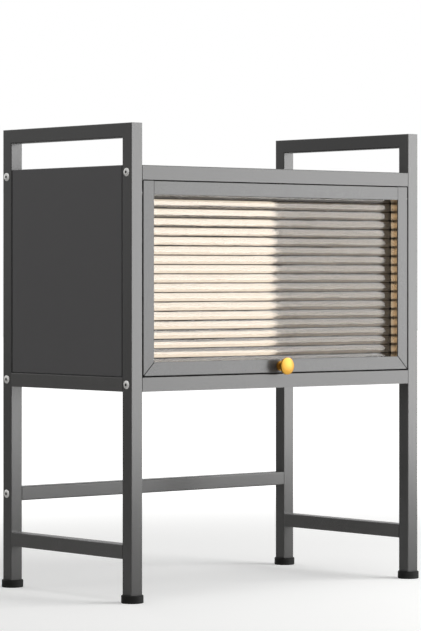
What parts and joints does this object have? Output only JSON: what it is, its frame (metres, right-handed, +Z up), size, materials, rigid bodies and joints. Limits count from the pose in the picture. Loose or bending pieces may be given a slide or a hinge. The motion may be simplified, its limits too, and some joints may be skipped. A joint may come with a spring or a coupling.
{
  "type": "appliance stand",
  "caption": "Two-tier countertop stand of square tube with an enclosed upper shelf behind a framed reeded flip-up door and an open bay for an appliance below.",
  "frame": {"origin": "on the floor, in the middle of the bounding box, between the knob's tip and the rear feet", "axes": "+Z up, +X to the right as seen from the front, -Y towards the person who opens the door"},
  "size_m": [0.555, 0.3215, 0.66],
  "materials": {
    "frame_paint": "satin dark grey powder coat",
    "door_frame": "aluminium section, satin dark grey powder coat",
    "reeded_glass": "clear, round horizontal reeds on the front",
    "knob_brass": "polished",
    "foot_plastic": "black, matte",
    "bolt_steel": "nickel-plated button heads",
    "plated_steel": "zinc plated",
    "fitting_plastic": "black moulded fitting",
    "magnet": "nickel-plated magnet"
  },
  "bodies": {
    "stand": {"bottom_shelf": "frame_paint", "bottom_shelf_bolts": "bolt_steel", "bottom_shelf_nuts": "plated_steel", "bottom_shelf_stiffener": "frame_paint", "catch_screws": "plated_steel", "left_catch_housing": "fitting_plastic", "left_catch_magnet": "magnet", "left_front_foot": "foot_plastic", "left_front_leg": "frame_paint", "left_handle_rail": "frame_paint", "left_hinge_bush": "plated_steel", "left_hinge_pin": "plated_steel", "left_lower_rail": "frame_paint", "left_middle_rail": "frame_paint", "left_rear_foot": "foot_plastic", "left_rear_leg": "frame_paint", "left_side_panel": "frame_paint", "left_stretcher_plug": "plated_steel", "rear_stretcher": "frame_paint", "right_catch_housing": "fitting_plastic", "right_catch_magnet": "magnet", "right_front_foot": "foot_plastic", "right_front_leg": "frame_paint", "right_handle_rail": "frame_paint", "right_hinge_bush": "plated_steel", "right_hinge_pin": "plated_steel", "right_lower_rail": "frame_paint", "right_middle_rail": "frame_paint", "right_rear_foot": "foot_plastic", "right_rear_leg": "frame_paint", "right_side_panel": "frame_paint", "right_stretcher_plug": "plated_steel", "stretcher_bolts": "bolt_steel", "top_shelf": "frame_paint", "top_shelf_bolts": "bolt_steel", "top_shelf_nuts": "plated_steel", "top_shelf_stiffener": "frame_paint"},
    "door": {"door_bottom_rail": "door_frame", "door_left_stile": "door_frame", "door_right_stile": "door_frame", "door_top_rail": "door_frame", "knob": "knob_brass", "knob_screw": "plated_steel", "left_corner_key": "fitting_plastic", "left_hinge_block": "fitting_plastic", "left_hinge_sleeve": "plated_steel", "left_strike_plate": "plated_steel", "reeded_panel": "reeded_glass", "right_corner_key": "fitting_plastic", "right_hinge_block": "fitting_plastic", "right_hinge_sleeve": "plated_steel", "right_strike_plate": "plated_steel"}
  },
  "joints": [
    {"name": "door_hinge", "type": "hinge", "parent": "stand", "child": "door", "pos_m": [0, -0.13675, 0.5635], "axis": [-1, 0, 0], "range_deg": [0, 90]}
  ]
}
